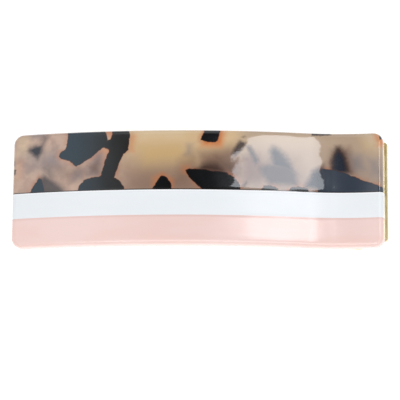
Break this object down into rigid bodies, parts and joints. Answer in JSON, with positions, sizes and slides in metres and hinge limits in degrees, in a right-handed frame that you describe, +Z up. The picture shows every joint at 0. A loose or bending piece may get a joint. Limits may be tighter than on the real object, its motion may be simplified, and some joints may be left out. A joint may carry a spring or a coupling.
{
  "type": "barrette",
  "caption": "Bowed rectangular acetate plate in tortoiseshell, white and pale pink stripes, glued to a wide gold-coloured spring clip with a thumb tab.",
  "frame": {"origin": "under the middle of the barrette's box, on the surface it lies on", "axes": "+X along the barrette towards the hinge and thumb tab, +Y across it towards the tortoiseshell stripe, +Z up from the clip to the acetate plate"},
  "size_m": [0.085, 0.0264, 0.0143],
  "materials": {
    "tortoise_acetate": "polished blonde tortoiseshell acetate with black and brown blotches",
    "white_acetate": "polished opaque white acetate",
    "pink_acetate": "polished translucent pale pink acetate",
    "glue": "cured clear glue",
    "gold_plate": "polished pale gold plating on steel sheet",
    "spring_steel": "drawn spring wire"
  },
  "bodies": {
    "plate_half": {"tortoise_stripe": "tortoise_acetate", "white_stripe": "white_acetate", "pink_stripe": "pink_acetate", "adhesive_film": "glue", "upper_jaw": "gold_plate", "hinge_pin": "gold_plate", "torsion_spring": "spring_steel"},
    "lower_half": {"lower_jaw": "gold_plate"}
  },
  "joints": [
    {"name": "clip_hinge", "type": "hinge", "parent": "plate_half", "child": "lower_half", "pos_m": [0.01953, 0, 0.00624], "axis": [0, -1, 0], "range_deg": [0, 25], "stiffness_Nm_per_rad": 0.1, "springref_deg": -34.38, "deforming": ["torsion_spring"]}
  ]
}
